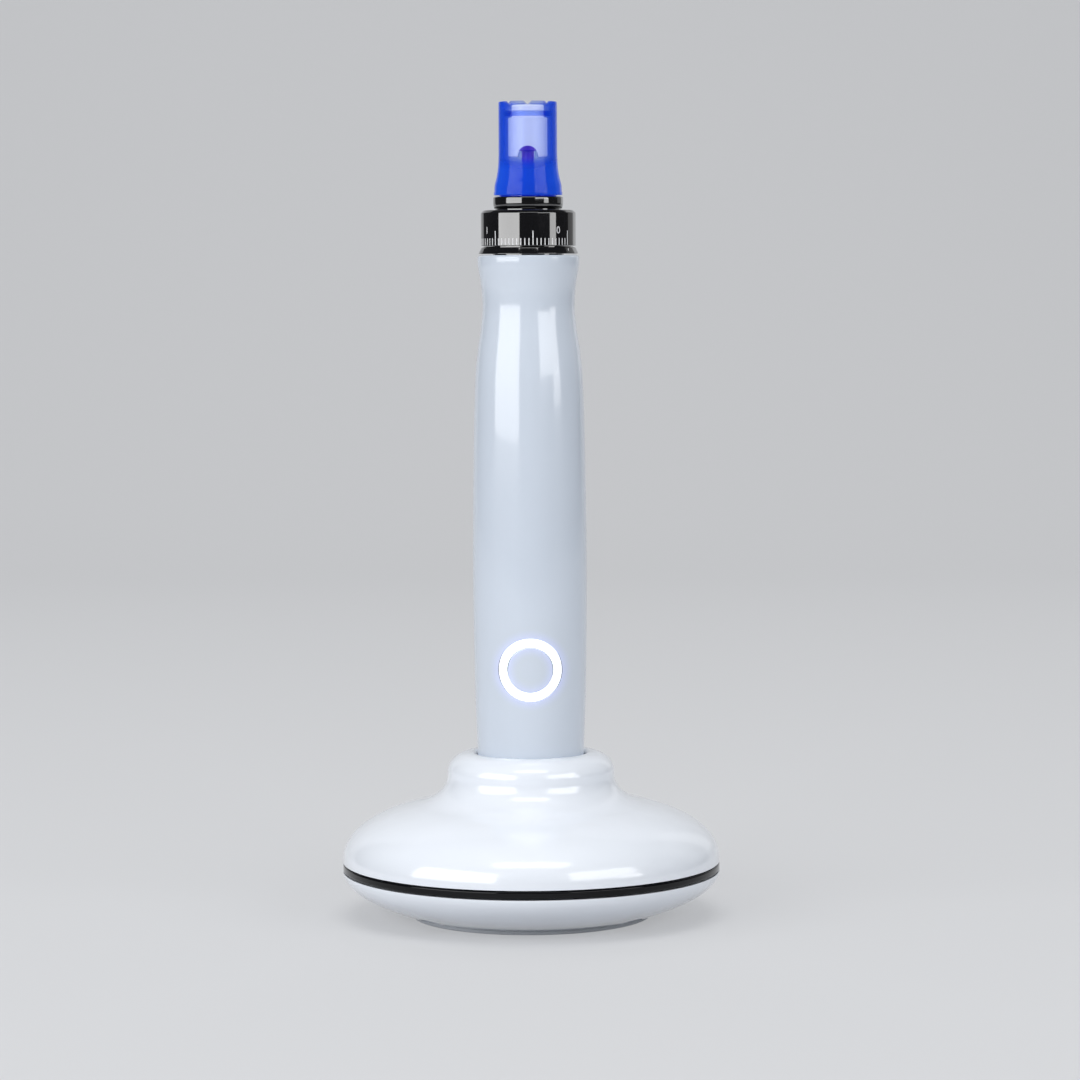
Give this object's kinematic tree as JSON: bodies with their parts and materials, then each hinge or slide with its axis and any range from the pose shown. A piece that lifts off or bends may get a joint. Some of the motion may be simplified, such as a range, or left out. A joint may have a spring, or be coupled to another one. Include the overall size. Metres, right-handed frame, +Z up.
{
  "type": "microneedling pen",
  "caption": "Cordless microneedling pen with a clear needle cartridge, depth dial and lit power button, standing in a round charging dock.",
  "frame": {"origin": "centre of the dock's foot ring, on the surface that it stands on", "axes": "+Z up along the pen's axis, -Y the front with the power button, +X to the right seen from the front"},
  "size_m": [0.0948, 0.0948, 0.2038],
  "materials": {
    "white_dock": "cool white moulded gloss plastic",
    "white_handle": "cool white lacquered gloss",
    "black_gloss": "deep black high gloss",
    "black_plastic": "satin black moulded",
    "foot_rubber": "matt non-slip rubber",
    "steel": "machined steel",
    "gold_contact": "gold-plated contact",
    "bronze": "sintered bronze bush",
    "circuit": "green solder mask",
    "cell_wrap": "shrink wrap",
    "clear_blue": "clear blue polycarbonate",
    "violet_plastic": "violet moulded plastic",
    "guide_white": "white acetal",
    "light_pipe": "frosted diffuser, lit from inside"
  },
  "bodies": {
    "dock": {"dock_top_shell": "white_dock", "trim_ring": "black_gloss", "dock_bottom_shell": "white_dock", "foot_ring": "foot_rubber", "ballast_ring": "steel", "dock_board": "circuit", "power_inlet": "steel", "contact_block": "black_plastic", "charge_lead": "black_plastic", "dock_screw_1": "steel", "dock_screw_2": "steel", "dock_screw_3": "steel", "dock_screw_4": "steel"},
    "left_pin": {"charge_pin_left": "gold_contact"},
    "right_pin": {"charge_pin_right": "gold_contact"},
    "pen": {"handle_shell": "white_handle", "tail_cap": "white_handle", "charge_contact_left": "gold_contact", "charge_contact_right": "gold_contact", "chassis": "black_plastic", "battery_cell": "cell_wrap", "main_board": "circuit", "tact_switch": "black_plastic", "light_ring": "light_pipe", "led_1": "light_pipe", "led_2": "light_pipe", "led_3": "light_pipe", "led_4": "light_pipe", "index_ring": "black_gloss", "detent_ball": "steel", "neck": "black_gloss", "neck_nut": "steel"},
    "button": {"power_button": "white_handle", "switch_plunger": "black_plastic"},
    "dial": {"depth_ring": "black_gloss"},
    "carriage": {"motor_carrier": "black_plastic", "follower_pin": "steel", "motor_can": "steel", "motor_end_cap": "black_plastic", "rod_bush_lower": "bronze", "rod_bush_upper": "bronze"},
    "rotor": {"motor_shaft": "steel", "drive_cam": "guide_white"},
    "striker": {"drive_rod": "steel", "rod_spring": "steel"},
    "cartridge": {"cartridge_nose": "clear_blue", "cartridge_hub": "clear_blue", "cartridge_seal": "foot_rubber", "needle_guide": "guide_white"},
    "plunger": {"needle_plunger": "violet_plastic", "needle_plate": "steel"}
  },
  "joints": [
    {"name": "pen_lift", "type": "slide", "parent": "dock", "child": "pen", "axis": [0, 0, 1], "range_m": [0, 0.06]},
    {"name": "power_button_press", "type": "slide", "parent": "pen", "child": "button", "axis": [0, 1, 0], "range_m": [0, 0.0005], "stiffness_N_per_m": 1500, "springref_m": -0.0003},
    {"name": "depth_ring_turn", "type": "hinge", "parent": "pen", "child": "dial", "pos_m": [0, 0, 0.1725], "axis": [0, 0, 1], "range_deg": [0, 245]},
    {"name": "depth_travel", "type": "slide", "parent": "pen", "child": "carriage", "axis": [0, 0, 1], "range_m": [0, 0.0025]},
    {"name": "motor_spin", "type": "hinge", "parent": "carriage", "child": "rotor", "pos_m": [0, 0, 0.14], "axis": [0, 0, 1], "continuous": true},
    {"name": "rod_stroke", "type": "slide", "parent": "carriage", "child": "striker", "axis": [0, 0, 1], "range_m": [0, 0.002], "stiffness_N_per_m": 250, "springref_m": -0.004, "deforming": ["rod_spring"]},
    {"name": "cartridge_release", "type": "slide", "parent": "pen", "child": "cartridge", "axis": [0, 0, 1], "range_m": [0, 0.03]},
    {"name": "plunger_follow", "type": "slide", "parent": "striker", "child": "plunger", "axis": [0, 0, 1], "range_m": [0, 0.03]},
    {"name": "left_pin_press", "type": "slide", "parent": "dock", "child": "left_pin", "axis": [0, 0, 1], "range_m": [-0.0006, 0], "stiffness_N_per_m": 600, "springref_m": 0.0005},
    {"name": "right_pin_press", "type": "slide", "parent": "dock", "child": "right_pin", "axis": [0, 0, 1], "range_m": [-0.0006, 0], "stiffness_N_per_m": 600, "springref_m": 0.0005}
  ],
  "couplings": [
    {"joint": "depth_ring_turn", "follows": "depth_travel", "rad_per_m": 1710.4},
    {"joint": "plunger_follow", "follows": "cartridge_release", "ratio": 1}
  ]
}
